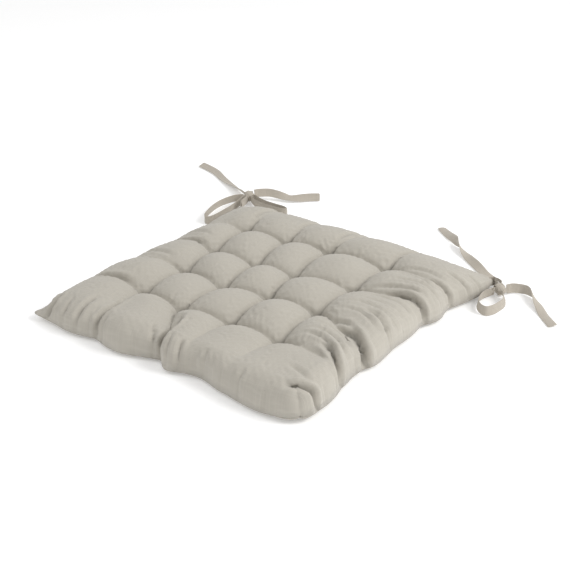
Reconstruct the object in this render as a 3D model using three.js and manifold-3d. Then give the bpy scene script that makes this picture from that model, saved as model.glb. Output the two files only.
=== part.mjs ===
// A square chair seat pad: two fabric panels sewn together at a low edge seam, a loose fibre filling,
// sixteen tufts stitched right through it, and a pair of tape ties knotted at each back corner.
// Millimetres, +Z up, +Y towards the back edge. The origin is the middle of the underside.
import * as THREE from "three";
import { mergeVertices } from "three/addons/utils/BufferGeometryUtils.js";
import Module from "manifold-3d";

const wasm = await Module();
wasm.setup();

// Driving dimensions of the pad.
const PAD_WIDTH = 400;
const PAD_DEPTH = 400;
const PUFF_TOP = 42;
const VALLEY_SHARE = 0.64;
const PIT_TOP = 21;
const PIT_BOTTOM = 8;
const SEAM_HEIGHT = 9;
const EDGE_ROUND_TOP = 46;
const EDGE_ROUND_BOTTOM = 32;
const EDGE_PULL = 5;
const FABRIC = 1.2;

// Tufts: rows from the back edge, columns from the left. Each lies a little off its place in the
// grid, as a hand-tied one does, and takes the fabric around it along.
const TUFT_COUNT = 4;
const TUFT_PITCH = 70;
const TUFT_GRID_CENTRE = [-6, 0];
const TUFT_FLAT = 4.5;
const TUFT_DRIFT = [
  [[-4, 0], [-7, 1], [-15, 8], [5, 7]],
  [[2, -5], [3, -7], [-10, -4], [1, 7]],
  [[10, 0], [9, -10], [0, 2], [-2, 4]],
  [[6, -3], [2, -10], [2, -4], [3, -7]],
];

// Threads and their stitches.
const TUFT_THREAD = 1.8;
const STITCH_LENGTH = 6;
const STITCH_RISE = 1;
const SEAM_THREAD = 0.8;
const SEAM_THREAD_INSET = 2;

// Ties: flat tape, knotted just outside each back corner.
const TAPE_WIDTH = 12;
const TAPE_THICKNESS = 1.2;
const KNOT_RADIUS = 8;
const KNOT_EXIT = 2.5;
const STEPS_BETWEEN_POINTS = 2;

// Clearance kept between pieces that touch, and above the surface that the pad lies on.
const GAP = 0.3;

// Grid lines: insets of the ones near an edge, and how many lie between two tufts.
const EDGE_LINES = [0, 3, 13, 32];
const LINES_IN_PUFF = 2;

// Each tie is described from its corner of the pad, with x and y in the pad's own directions. A point
// is [x, y, lift, lean]: lift is the height of the tape's lower edge above the surface it lies on,
// and lean turns its width from flat (0) to standing on edge (90).
const TIES = [
  {
    side: "left",
    corner: [-1, 1],
    knot: [-13, 36],
    root: [-1.5, 2, 3, 90],
    runs: {
      tail_side: [
        [-31, 45, 1, 58], [-41, 50, 1, 46], [-62, 62, 0, 26], [-84, 73, 0, 8], [-105, 84, 0, -6],
        [-125, 95, 0, -14], [-146, 102, 0, -18], [-166, 107, 0, -20],
      ],
      tail_back: [
        [-4, 49, 5, 66], [7, 58, 5, 62], [18, 62, 4, 56], [28, 65, 3, 40], [37, 69, 2, 24],
        [46, 75, 1, 34], [55, 83, 0, 52], [64, 90, 0, 60], [73, 96, 0, 62],
      ],
      loop_side: [
        [-27, 18, 1, 80], [-33, 2, 0, 80], [-33, -14, 0, 82], [-30, -30, 0, 82], [-25, -46, 0, 84],
        [-19, -59, 0, 88], [-12, -65, 0, 90], [-7, -59, 0, 90], [-6, -45, 0, 90], [-7, -30, 0, 90],
        [-8, -14, 0, 90], [-11, 4, 0, 90], [-14, 20, 1, 90],
      ],
      loop_back: [
        [0, 36, 1, 88], [10, 32, 0, 88], [25, 29, 0, 88], [42, 28, 0, 88], [58, 27, 0, 88],
        [66, 23, 0, 90], [58, 18, 0, 90], [42, 18, 0, 90], [25, 19, 0, 90], [10, 22, 0, 90],
        [-1, 28, 1, 90],
      ],
    },
  },
  {
    side: "right",
    corner: [1, 1],
    knot: [30, -26],
    root: [1.5, 0, 3, 90],
    runs: {
      tail_back: [
        [25, -13, 1, 88], [15, -1, 0, 50], [3, 7, 0, 10], [-13, 15, 0, -8], [-31, 27, 0, -28],
        [-48, 40, 0, -20], [-63, 53, 0, 20], [-77, 65, 0, 70], [-85, 72, 0, 108], [-94, 80, 1, 140],
        [-112, 95, 0, 164], [-130, 110, 0, 184],
      ],
      tail_side: [
        [41, -12, 1, 75], [52, -6, 0, 78], [60, -7, 0, 86], [68, -13, 0, 110], [81, -27, 1, 155],
        [96, -43, 0, 180], [107, -54, 0, 186], [119, -65, 0, 190],
      ],
      loop_side: [
        [24, -37, 1, 82], [19, -50, 0, 82], [21, -66, 0, 80], [29, -79, 0, 80], [40, -84, 0, 78],
        [46, -76, 0, 76], [48, -64, 0, 74], [48, -52, 0, 72], [42, -39, 1, 72],
      ],
    },
  },
];

const materials = {
  cover: fabric("#b9b2a4", 0.95),
  filling: fabric("#ece9e2", 1),
  thread: fabric("#a9a193", 0.9),
  tape: fabric("#b3a898", 0.93),
};

function fabric(color, roughness) {
  return new THREE.MeshStandardMaterial({ color, roughness, metalness: 0 });
}

// Small shared maths.
const { lerp, smoothstep, degToRad } = THREE.MathUtils;

function tuftLine(index, axis) {
  return TUFT_GRID_CENTRE[axis] + (index - (TUFT_COUNT - 1) / 2) * TUFT_PITCH;
}

const tufts = TUFT_DRIFT.flatMap((row, r) =>
  row.map((drift, c) => ({
    name: `tuft_thread_${r + 1}_${c + 1}`,
    x: tuftLine(c, 0),
    y: tuftLine(TUFT_COUNT - 1 - r, 1),
    drift,
  })),
);

// Grid lines across the pad: closer together at the edges, with a narrow flat strip at each tuft line.
function gridLines(size, axis) {
  const half = size / 2;
  const lowEdge = EDGE_LINES.map((inset) => inset - half);
  const highEdge = EDGE_LINES.map((inset) => half - inset).reverse();
  const strips = [];
  const room = TUFT_PITCH - 2 * TUFT_FLAT;
  for (let i = 0; i < TUFT_COUNT; i++) {
    const line = tuftLine(i, axis);
    strips.push(line - TUFT_FLAT, line + TUFT_FLAT);
    for (let k = 1; k <= LINES_IN_PUFF && i < TUFT_COUNT - 1; k++) {
      strips.push(line + TUFT_FLAT + (room * k) / (LINES_IN_PUFF + 1));
    }
  }
  const midway = (a, b) => (a + b) / 2;
  const lowMiddle = midway(lowEdge.at(-1), strips[0]);
  const highMiddle = midway(strips.at(-1), highEdge[0]);
  return [...lowEdge, lowMiddle, ...strips, highMiddle, ...highEdge];
}

const linesX = gridLines(PAD_WIDTH, 0);
const linesY = gridLines(PAD_DEPTH, 1);

// 0 on a tuft line and 1 along the middle of a puff.
function puffShare(value, axis) {
  const first = tuftLine(0, axis);
  const last = tuftLine(TUFT_COUNT - 1, axis);
  const step = (value - first) / TUFT_PITCH;
  const inside = Math.abs(step - Math.round(step)) * TUFT_PITCH;
  const distance = value < first ? first - value : value > last ? value - last : inside;
  const along = Math.max(0, distance - TUFT_FLAT) / (TUFT_PITCH / 2 - TUFT_FLAT);
  return Math.sin((Math.PI / 2) * Math.min(1, along)) ** 0.8;
}

// 0 at the seam and 1 where the edge's rounding ends.
function edgeShare(inset, round) {
  const along = Math.min(1, Math.max(0, inset) / round);
  return Math.sqrt(1 - (1 - along) ** 2);
}

function edgeFade(x, y, round) {
  const insetX = PAD_WIDTH / 2 - Math.abs(x);
  const insetY = PAD_DEPTH / 2 - Math.abs(y);
  return edgeShare(insetX, round) * edgeShare(insetY, round);
}

// How full the pad is at a grid place: 0 in a tuft's pit and 1 on a puff's crown.
function fullness(x, y) {
  const ax = puffShare(x, 0);
  const ay = puffShare(y, 1);
  return VALLEY_SHARE * (ax + ay - ax * ay) + (1 - VALLEY_SHARE) * ax * ay;
}

// The seam's thread lies between the two panels' edges.
const seamHalfGap = SEAM_THREAD / 2 + GAP;
const topRim = SEAM_HEIGHT + seamHalfGap + FABRIC;
const bottomRim = SEAM_HEIGHT - seamHalfGap - FABRIC;

function topSurface(x, y) {
  const inner = lerp(PIT_TOP, PUFF_TOP, fullness(x, y));
  return lerp(topRim, inner, edgeFade(x, y, EDGE_ROUND_TOP));
}

function bottomSurface(x, y) {
  const pit = 1 - smoothstep(fullness(x, y), 0, VALLEY_SHARE);
  return lerp(bottomRim, PIT_BOTTOM * pit, edgeFade(x, y, EDGE_ROUND_BOTTOM));
}

// Drift of the fabric at a grid place: that of the nearest tufts, fading out towards the edges.
function driftAt(x, y) {
  const steps = [x, y].map((value, axis) => (value - tuftLine(0, axis)) / TUFT_PITCH);
  const held = steps.map((step) => Math.min(TUFT_COUNT - 1, Math.max(0, step)));
  const fades = [PAD_WIDTH, PAD_DEPTH].map((size, axis) => {
    const edge = (Math.sign(steps[axis] - held[axis]) * size) / 2 - tuftLine(held[axis], axis);
    const beyond = (steps[axis] - held[axis]) * TUFT_PITCH;
    return 1 - beyond / edge;
  });
  const [column, row] = held.map((step) => Math.min(TUFT_COUNT - 2, Math.floor(step)));
  const [u, v] = [held[0] - column, held[1] - row];
  const tied = (c, r) => TUFT_DRIFT[TUFT_COUNT - 1 - r][c];
  return [0, 1].map((axis) => {
    const near = lerp(tied(column, row)[axis], tied(column + 1, row)[axis], u);
    const far = lerp(tied(column, row + 1)[axis], tied(column + 1, row + 1)[axis], u);
    return lerp(near, far, v) * fades[0] * fades[1];
  });
}

// Where a grid place really lies: the edges pull in at the tuft lines, and the tufts drift.
function place(x, y) {
  const pullX = EDGE_PULL * (1 - puffShare(y, 1)) * ((2 * x) / PAD_WIDTH) ** 6;
  const pullY = EDGE_PULL * (1 - puffShare(x, 0)) * ((2 * y) / PAD_DEPTH) ** 6;
  const [driftX, driftY] = driftAt(x, y);
  return new THREE.Vector2(x - Math.sign(x) * pullX + driftX, y - Math.sign(y) * pullY + driftY);
}

// A layer of the pad between two surfaces, over the grid lines from number `skip` inwards. Both
// surfaces split their cells the same way, so that layers never touch between their corners.
function layer(low, high, skip = 0) {
  const xs = linesX.slice(skip, linesX.length - skip);
  const ys = linesY.slice(skip, linesY.length - skip);
  const sheet = xs.length * ys.length;
  const points = [];
  for (const surface of [high, low]) {
    for (const y of ys) {
      for (const x of xs) points.push(...place(x, y).toArray(), surface(x, y));
    }
  }
  const faces = [];
  const cell = (a, b, c, d) => faces.push(a, b, c, a, c, d);
  for (let j = 0; j < ys.length - 1; j++) {
    for (let i = 0; i < xs.length - 1; i++) {
      const at = j * xs.length + i;
      cell(at, at + 1, at + xs.length + 1, at + xs.length);
      faces.push(sheet + at, sheet + at + xs.length + 1, sheet + at + 1);
      faces.push(sheet + at, sheet + at + xs.length, sheet + at + xs.length + 1);
    }
  }
  const wall = (from, to) => cell(sheet + from, sheet + to, to, from);
  const last = sheet - xs.length;
  for (let i = 0; i < xs.length - 1; i++) {
    wall(i, i + 1);
    wall(last + i + 1, last + i);
  }
  for (let j = 0; j < last; j += xs.length) {
    wall(j + xs.length, j);
    wall(j + xs.length - 1, j + 2 * xs.length - 1);
  }
  const geometry = new THREE.BufferGeometry();
  geometry.setAttribute("position", new THREE.Float32BufferAttribute(points, 3));
  geometry.setIndex(faces);
  return geometry;
}

// A geometry as a solid that can be cut, and a solid as a geometry.
function solid(geometry) {
  const bare = new THREE.BufferGeometry();
  bare.setAttribute("position", geometry.attributes.position);
  bare.setIndex(geometry.index);
  const merged = mergeVertices(bare, 1e-4);
  const vertProperties = new Float32Array(merged.attributes.position.array);
  const triVerts = new Uint32Array(merged.index.array);
  return new wasm.Manifold(new wasm.Mesh({ numProp: 3, vertProperties, triVerts }));
}

function geometryOf(body) {
  const made = body.getMesh();
  const geometry = new THREE.BufferGeometry();
  geometry.setAttribute("position", new THREE.BufferAttribute(made.vertProperties, 3));
  geometry.setIndex(new THREE.BufferAttribute(made.triVerts, 1));
  geometry.computeVertexNormals();
  return geometry;
}

const pad = new THREE.Group();

function add(name, geometry, material) {
  const mesh = new THREE.Mesh(geometry, material);
  mesh.name = name;
  pad.add(mesh);
}

// A layer with a square hole for each tuft's thread.
function withTuftHoles(geometry) {
  const side = TUFT_THREAD + 2 * GAP;
  const height = 3 * PUFF_TOP;
  return geometryOf(
    tufts.reduce((body, tuft) => {
      const at = place(tuft.x, tuft.y);
      const hole = new THREE.BoxGeometry(side, side, height).translate(at.x, at.y, 0);
      return body.subtract(solid(hole));
    }, solid(geometry)),
  );
}

function addPad() {
  const underTop = (x, y) => topSurface(x, y) - FABRIC;
  const overBottom = (x, y) => bottomSurface(x, y) + FABRIC;
  const fillTop = (x, y) => underTop(x, y) - GAP;
  const fillBottom = (x, y) => overBottom(x, y) + GAP;
  add("top_cover", withTuftHoles(layer(underTop, topSurface)), materials.cover);
  add("bottom_cover", withTuftHoles(layer(bottomSurface, overBottom)), materials.cover);
  add("filling", withTuftHoles(layer(fillBottom, fillTop, 1)), materials.filling);
}

// A tuft: thread through the pad, with a stitch lying in the pit on each side.
function addTufts() {
  const reach = STITCH_LENGTH / 2;
  const half = TUFT_THREAD / 2;
  const top = PIT_TOP + GAP;
  const bottom = PIT_BOTTOM - GAP;
  const outline = [
    [half, bottom], [half, top], [reach, top], [reach, top + STITCH_RISE],
    [-reach, top + STITCH_RISE], [-reach, top], [-half, top], [-half, bottom],
    [-reach, bottom], [-reach, bottom - STITCH_RISE], [reach, bottom - STITCH_RISE], [reach, bottom],
  ];
  const shape = new THREE.Shape(outline.map(([x, z]) => new THREE.Vector2(x, z)));
  for (const tuft of tufts) {
    const at = place(tuft.x, tuft.y);
    const thread = new THREE.ExtrudeGeometry(shape, { depth: TUFT_THREAD, bevelEnabled: false });
    thread.translate(0, 0, -half).rotateX(Math.PI / 2).translate(at.x, at.y, 0);
    add(tuft.name, thread, materials.thread);
  }
}

// The thread of the edge seam: a square section swept all the way round between the two panels.
function addSeamThread() {
  const farX = PAD_WIDTH / 2;
  const farY = PAD_DEPTH / 2;
  const round = [
    ...linesX.slice(0, -1).map((x) => [x, -farY]),
    ...linesY.slice(0, -1).map((y) => [farX, y]),
    ...linesX.slice(1).reverse().map((x) => [x, farY]),
    ...linesY.slice(1).reverse().map((y) => [-farX, y]),
  ];
  const half = SEAM_THREAD / 2;
  const section = [[-half, -half], [-half, half], [half, half], [half, -half]];
  const points = round.flatMap(([x, y]) => {
    const outX = Math.abs(x) === farX ? Math.sign(x) : 0;
    const outY = Math.abs(y) === farY ? Math.sign(y) : 0;
    return section.flatMap(([out, up]) => {
      const inset = SEAM_THREAD_INSET - out;
      return [...place(x - outX * inset, y - outY * inset).toArray(), SEAM_HEIGHT + up];
    });
  });
  const faces = [];
  round.forEach((_, k) => {
    const next = (k + 1) % round.length;
    section.forEach((_, corner) => {
      const side = (corner + 1) % section.length;
      const [a, b] = [k * section.length + corner, k * section.length + side];
      const [c, d] = [next * section.length + side, next * section.length + corner];
      faces.push(a, b, c, a, c, d);
    });
  });
  const thread = new THREE.BufferGeometry();
  thread.setAttribute("position", new THREE.Float32BufferAttribute(points, 3));
  thread.setIndex(faces);
  add("edge_seam_thread", thread, materials.thread);
}

// Height of a tape's middle when its lower edge is `lift` above the surface.
function tapeHeight(lift, lean) {
  const angle = degToRad(lean);
  const reach = (Math.abs(Math.sin(angle)) * TAPE_WIDTH + Math.abs(Math.cos(angle)) * TAPE_THICKNESS) / 2;
  return GAP + lift + reach;
}

// A tape along a route of points that each hold its place and its lean.
function tape(route, thickness = TAPE_THICKNESS) {
  const curve = new THREE.CatmullRomCurve3(route.map((point) => point.at), false, "centripetal");
  const steps = (route.length - 1) * STEPS_BETWEEN_POINTS;
  const box = new THREE.BoxGeometry(steps, TAPE_WIDTH, thickness, steps, 1, 1);
  const points = box.attributes.position;
  for (let i = 0; i < points.count; i++) {
    const share = Math.round(points.getX(i) + steps / 2) / steps;
    const index = Math.min(Math.floor(share * (route.length - 1)), route.length - 2);
    const lean = lerp(route[index].lean, route[index + 1].lean, share * (route.length - 1) - index);
    const tangent = curve.getTangent(share);
    const flat = new THREE.Vector3(-tangent.y, tangent.x, 0).normalize();
    const width = flat.applyAxisAngle(tangent, degToRad(lean));
    const across = new THREE.Vector3().crossVectors(tangent, width);
    const at = curve.getPoint(share).addScaledVector(width, points.getY(i));
    at.addScaledVector(across, points.getZ(i));
    points.setXYZ(i, at.x, at.y, at.z);
  }
  return box;
}

// The two points by which a tape leaves a knot on its way to `next`: straight out from its surface.
function knotExit(knot, next) {
  const out = new THREE.Vector3(next.at.x - knot.x, next.at.y - knot.y, 0).normalize();
  return [0, KNOT_EXIT].map((way) => {
    const at = knot.clone().addScaledVector(out, KNOT_RADIUS + GAP + way);
    return { at: at.setZ(next.at.z), lean: next.lean };
  });
}

function addTie({ side, corner, knot, root, runs }) {
  const home = [(corner[0] * PAD_WIDTH) / 2, (corner[1] * PAD_DEPTH) / 2];
  const toPoint = ([x, y, lift, lean]) => ({
    at: new THREE.Vector3(home[0] + x, home[1] + y, tapeHeight(lift, lean)),
    lean,
  });
  const middle = new THREE.Vector3(home[0] + knot[0], home[1] + knot[1], GAP + KNOT_RADIUS);
  const ball = new THREE.SphereGeometry(KNOT_RADIUS, 16, 10).translate(...middle.toArray());
  add(`tie_${side}_knot`, ball, materials.tape);

  // The root is both tapes together, from the seam to the knot.
  const start = toPoint(root);
  const toKnot = [start, ...knotExit(middle, start).reverse()];
  add(`tie_${side}_root`, tape(toKnot, 2 * TAPE_THICKNESS), materials.tape);

  for (const [name, run] of Object.entries(runs)) {
    const points = run.map(toPoint);
    const route = [...knotExit(middle, points[0]), ...points];
    if (name.startsWith("loop")) route.push(...knotExit(middle, points.at(-1)).reverse());
    add(`tie_${side}_${name}`, tape(route), materials.tape);
  }
}

addPad();
addTufts();
addSeamThread();
TIES.forEach(addTie);

export default pad;
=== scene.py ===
import math

import bpy
import numpy as np
from mathutils import Matrix, Vector


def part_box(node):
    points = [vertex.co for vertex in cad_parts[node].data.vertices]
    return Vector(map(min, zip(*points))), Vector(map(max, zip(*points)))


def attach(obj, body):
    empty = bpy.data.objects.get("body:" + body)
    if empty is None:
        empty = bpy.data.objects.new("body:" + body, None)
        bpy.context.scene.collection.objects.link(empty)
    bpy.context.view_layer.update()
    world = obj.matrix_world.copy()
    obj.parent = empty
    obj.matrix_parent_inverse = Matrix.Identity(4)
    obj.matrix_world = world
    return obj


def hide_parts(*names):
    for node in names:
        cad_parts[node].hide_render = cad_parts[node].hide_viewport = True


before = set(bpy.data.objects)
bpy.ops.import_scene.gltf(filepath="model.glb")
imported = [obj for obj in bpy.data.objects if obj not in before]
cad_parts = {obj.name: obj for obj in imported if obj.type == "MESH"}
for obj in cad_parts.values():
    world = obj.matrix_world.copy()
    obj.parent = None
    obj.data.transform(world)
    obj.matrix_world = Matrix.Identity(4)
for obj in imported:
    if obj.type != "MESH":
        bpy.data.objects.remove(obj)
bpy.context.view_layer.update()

MM = 0.001

# Camera: the pad is seen from its front-right, a little above, through a long lens.
VIEW_AZIMUTH, VIEW_ELEVATION, VIEW_ROLL = 36.9, 26.8, -0.98
VIEW_DISTANCE = 1.472
LOOK_AT = Vector((-0.0055, 0.0444, 0.0))
LENS_MM, SENSOR_MM = 73.2, 36.0
CLIP_NEAR, CLIP_FAR = 0.05, 50


def add_camera():
    azimuth, elevation = math.radians(VIEW_AZIMUTH), math.radians(VIEW_ELEVATION)
    back = Vector((
        math.sin(azimuth) * math.cos(elevation),
        -math.cos(azimuth) * math.cos(elevation),
        math.sin(elevation),
    ))
    data = bpy.data.cameras.new("camera")
    data.lens, data.sensor_width = LENS_MM, SENSOR_MM
    data.clip_start, data.clip_end = CLIP_NEAR, CLIP_FAR
    camera = bpy.data.objects.new("camera", data)
    roll = Matrix.Rotation(math.radians(VIEW_ROLL), 3, "Z")
    turn = back.to_track_quat("Z", "Y").to_matrix() @ roll
    camera.matrix_world = Matrix.Translation(LOOK_AT + back * VIEW_DISTANCE) @ turn.to_4x4()
    bpy.context.collection.objects.link(camera)
    bpy.context.scene.camera = camera


add_camera()


# Meshes in general
def new_object(name, vertices, faces, material, smooth=True):
    mesh = bpy.data.meshes.new(name)
    mesh.from_pydata([tuple(v) for v in vertices], [], [tuple(f) for f in faces])
    mesh.update()
    if smooth:
        mesh.polygons.foreach_set("use_smooth", [True] * len(mesh.polygons))
    mesh.materials.append(material)
    obj = bpy.data.objects.new(name, mesh)
    bpy.context.collection.objects.link(obj)
    return obj


def new_plane(name, reach, material):
    corners = [(-reach, -reach, 0), (reach, -reach, 0), (reach, reach, 0), (-reach, reach, 0)]
    return new_object(name, corners, [(0, 1, 2, 3)], material, smooth=False)


def set_grain(obj, place):
    """Gives a piece its flat pattern: for each vertex, its place on the cloth in metres."""
    corners = np.empty(len(obj.data.loops), int)
    obj.data.loops.foreach_get("vertex_index", corners)
    uv = obj.data.uv_layers.new(name="grain")
    uv.data.foreach_set("uv", np.asarray(place, float)[corners].reshape(-1))


def ring_faces(count, ring, closed=False):
    """Faces over count rings of ring vertices each, with caps at the ends unless it is closed."""
    faces = []
    for i in range(count if closed else count - 1):
        for k in range(ring):
            a, b = i * ring + k, i * ring + (k + 1) % ring
            c = (i + 1) % count * ring
            faces.append((a, b, c + (k + 1) % ring, c + k))
    if not closed:
        faces.append(tuple(reversed(range(ring))))
        faces.append(tuple(range((count - 1) * ring, count * ring)))
    return faces


SIDE_HINT = (0.31, 0.17, 1.0)  # no thread runs this way, so a cross product with it never vanishes


def tube(path, radius, sides=6, closed=False):
    """Vertices and faces of a round thread along path; a closed path joins up with itself."""
    path = np.asarray(path, float)
    if closed:
        tangent = np.roll(path, -1, 0) - np.roll(path, 1, 0)
    else:
        tangent = np.gradient(path, axis=0)
    tangent /= np.linalg.norm(tangent, axis=1)[:, None]
    aside = np.cross(tangent, SIDE_HINT)
    aside /= np.linalg.norm(aside, axis=1)[:, None]
    over = np.cross(tangent, aside)
    angles = np.arange(sides) * 2 * np.pi / sides
    ring = aside[:, None] * np.cos(angles)[:, None] + over[:, None] * np.sin(angles)[:, None]
    vertices = (path[:, None] + ring * radius).reshape(-1, 3)
    return vertices, ring_faces(len(path), sides, closed)


def grid_quads(ids):
    """The four-sided faces of a grid of vertex numbers, turned up."""
    corners = [ids[:-1, :-1], ids[:-1, 1:], ids[1:, 1:], ids[1:, :-1]]
    return np.stack(corners, -1).reshape(-1, 4)


def joined(parts):
    """Several meshes, each as vertices and faces, as one."""
    vertices, faces, at = [], [], 0
    for some, more in parts:
        vertices.extend(some)
        faces.extend(tuple(k + at for k in face) for face in more)
        at += len(some)
    return vertices, faces


def catmull_rom(points, steps):
    """A smooth curve through points (rows of any width), with steps pieces between each two."""
    rows = np.asarray(points, float)
    rows = np.vstack([2 * rows[0] - rows[1], rows, 2 * rows[-1] - rows[-2]])
    out = []
    for i in range(1, len(rows) - 2):
        a, b, c, d = rows[i - 1 : i + 3]
        for k in range(steps):
            t = k / steps
            out.append(0.5 * (2 * b + (c - a) * t + (2 * a - 5 * b + 4 * c - d) * t * t
                              + (3 * b - 3 * c + d - a) * t ** 3))
    out.append(rows[-2])
    return np.array(out)


def plain_material(name, colour, roughness=0.95, glow=0.0):
    material = bpy.data.materials.new(name)
    material.use_nodes = True
    shader = material.node_tree.nodes["Principled BSDF"]
    shader.inputs["Base Color"].default_value = (*colour, 1)
    shader.inputs["Roughness"].default_value = roughness
    if glow:
        shader.inputs["Emission Color"].default_value = (*colour, 1)
        shader.inputs["Emission Strength"].default_value = glow
    return material


# Materials. Linen takes its grain from the flat pattern of each piece, in metres.
class Nodes:
    """Short ways to make and link nodes of one material."""

    def __init__(self, name):
        self.material = bpy.data.materials.new(name)
        self.material.use_nodes = True
        self.tree = self.material.node_tree
        self.shader = self.tree.nodes["Principled BSDF"]

    def add(self, kind, inputs=(), **settings):
        node = self.tree.nodes.new(kind)
        for key, value in settings.items():
            setattr(node, key, value)
        for key, value in dict(inputs).items():
            if isinstance(value, bpy.types.NodeSocket):
                self.tree.links.new(value, node.inputs[key])
            else:
                node.inputs[key].default_value = value
        return node

    def math(self, operation, a, b=0.0):
        return self.add("ShaderNodeMath", {0: a, 1: b}, operation=operation).outputs[0]

    def ramp(self, value, stops):
        node = self.add("ShaderNodeValToRGB", {0: value})
        while len(node.color_ramp.elements) < len(stops):
            node.color_ramp.elements.new(0.5)
        for element, (position, colour) in zip(node.color_ramp.elements, stops):
            element.position = position
            element.color = (*colour, 1) if isinstance(colour, tuple) else (colour,) * 3 + (1,)
        return node.outputs[0]

    def mix(self, factor, a, b, blend="MIX"):
        node = self.add("ShaderNodeMix", data_type="RGBA", blend_type=blend)
        for key, value in (("Factor", factor), ("A", a), ("B", b)):
            socket = next(s for s in node.inputs if s.name == key and
                          s.type == ("VALUE" if key == "Factor" else "RGBA"))
            if isinstance(value, bpy.types.NodeSocket):
                self.tree.links.new(value, socket)
            else:
                socket.default_value = value
        return next(s for s in node.outputs if s.type == "RGBA")

    def noise(self, vector, scale, detail=3.0, rough=0.5):
        return self.add("ShaderNodeTexNoise", {"Vector": vector, "Scale": scale, "Detail": detail,
                                               "Roughness": rough}).outputs[0]

    def stretched(self, vector, scale):
        return self.add("ShaderNodeMapping", {"Vector": vector, "Scale": scale}).outputs[0]

    def bump(self, height, strength, distance, below=None):
        inputs = {"Strength": strength, "Distance": distance, "Height": height}
        if below is not None:
            inputs["Normal"] = below
        return self.add("ShaderNodeBump", inputs).outputs[0]

    def link(self, value, socket):
        self.tree.links.new(value, self.shader.inputs[socket])


THREAD_PITCH, WEAVE_DEPTH = 0.00075, 0.00012
SLUB_LONG, SLUB_FINE = 38, 1150  # scales of the noise that draws a slub: along a thread, across it
SLUB_SHADE, MOTTLE_SHADE, SPECK_SHADE = 0.16, 0.25, 0.5
SPECK_TONE, CREASE_SHADE_TONE = 0.55, 0.3  # shares of the dark tone: the specks' own, and the painted shade's in creases
CREASE_SHADE = 0.38  # how far the shade painted at the bottom of a crease goes towards its darker tone
SPECULAR, SHEEN, SHEEN_ROUGHNESS = 0.18, 0.22, 0.45


def linen(name, light, dark, slub):
    """Plain-weave linen: warp over weft, slubs along both, a mottled tone, shade painted into its
    creases and a dry soft sheen.
    """
    n = Nodes(name)
    grain = n.add("ShaderNodeUVMap", uv_map="grain").outputs[0]
    place = n.add("ShaderNodeTexCoord").outputs["Object"]
    split = n.add("ShaderNodeSeparateXYZ", {0: grain})
    turns = [n.math("MULTIPLY", split.outputs[k], math.pi / THREAD_PITCH) for k in (0, 1)]
    waves = [n.math("SINE", turn) for turn in turns]
    warp_up = n.math("ABSOLUTE", waves[0])
    weft_up = n.math("ABSOLUTE", waves[1])
    over = n.math("GREATER_THAN", n.math("MULTIPLY", waves[0], waves[1]), 0.0)
    under = n.math("SUBTRACT", 1.0, over)
    weave = n.math("ADD", n.math("MULTIPLY", warp_up, over), n.math("MULTIPLY", weft_up, under))
    along = n.noise(n.stretched(grain, (SLUB_FINE, SLUB_LONG, 1)), 1.0, 2.0)
    across = n.noise(n.stretched(grain, (SLUB_LONG, SLUB_FINE, 1)), 1.0, 2.0)
    slubs = n.math("MAXIMUM", n.ramp(along, [(0.58, 0.0), (0.74, 1.0)]),
                   n.ramp(across, [(0.56, 0.0), (0.72, 1.0)]))
    threads = n.math("ADD", n.math("MULTIPLY", along, 0.5), n.math("MULTIPLY", across, 0.5))
    mottle = n.noise(place, 34.0, 4.0, 0.6)
    tone = n.mix(n.ramp(threads, [(0.25, 0.0), (0.75, 1.0)]), (*dark, 1), (*light, 1))
    tone = n.mix(n.ramp(mottle, [(0.35, 0.0), (0.65, MOTTLE_SHADE)]), tone, (*dark, 1))
    tone = n.mix(n.math("MULTIPLY", slubs, SLUB_SHADE), tone, (*slub, 1))
    flecks = n.noise(n.stretched(grain, (300, 900, 1)), 1.0, 1.0)
    specks = n.ramp(flecks, [(0.76, 0.0), (0.8, SPECK_SHADE)])
    tone = n.mix(specks, tone, tuple(SPECK_TONE * c for c in dark) + (1,))
    # Painted shade: the colour is darkened where the cover is pressed into a crease, standing in
    # for the shade that falls there.
    crease = n.add("ShaderNodeAttribute", attribute_name="crease").outputs["Fac"]
    tone = n.mix(n.ramp(crease, [(0.2, 0.0), (1.0, CREASE_SHADE)]), tone,
                 tuple(CREASE_SHADE_TONE * c for c in dark) + (1,))
    n.link(tone, "Base Color")
    n.link(n.ramp(threads, [(0.2, 0.86), (0.8, 0.98)]), "Roughness")
    n.shader.inputs["Specular IOR Level"].default_value = SPECULAR
    n.shader.inputs["Sheen Weight"].default_value = SHEEN
    n.shader.inputs["Sheen Roughness"].default_value = SHEEN_ROUGHNESS
    crumple = n.bump(n.noise(place, 190.0, 3.0, 0.55), 0.3, 0.0005)
    slubbed = n.bump(slubs, 0.6, 0.0003, below=crumple)
    n.link(n.bump(weave, 0.55, WEAVE_DEPTH, below=slubbed), "Normal")
    return n.material


def twisted_thread(name, light, dark):
    """Sewing thread: the lay of its plies as bands of two tones."""
    n = Nodes(name)
    place = n.add("ShaderNodeTexCoord").outputs["Object"]
    ply = n.add("ShaderNodeTexWave", {"Vector": place, "Scale": 620.0, "Distortion": 1.5},
                bands_direction="DIAGONAL").outputs["Fac"]
    n.link(n.mix(ply, (*dark, 1), (*light, 1)), "Base Color")
    n.link(n.ramp(n.noise(place, 900.0), [(0.3, 0.7), (0.7, 0.9)]), "Roughness")
    n.link(n.bump(ply, 0.6, 0.0002), "Normal")
    return n.material


def fibre(name, light, dark):
    """Loose fibre batt: soft tufts with fine hairs over them."""
    n = Nodes(name)
    place = n.add("ShaderNodeTexCoord").outputs["Object"]
    tufts = n.noise(place, 60.0, 6.0, 0.7)
    hairs = n.noise(n.stretched(place, (900, 160, 900)), 1.0, 4.0, 0.7)
    n.link(n.mix(tufts, (*dark, 1), (*light, 1)), "Base Color")
    n.link(n.ramp(hairs, [(0.3, 0.85), (0.7, 1.0)]), "Roughness")
    n.link(n.bump(hairs, 0.9, 0.002), "Normal")
    return n.material


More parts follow.
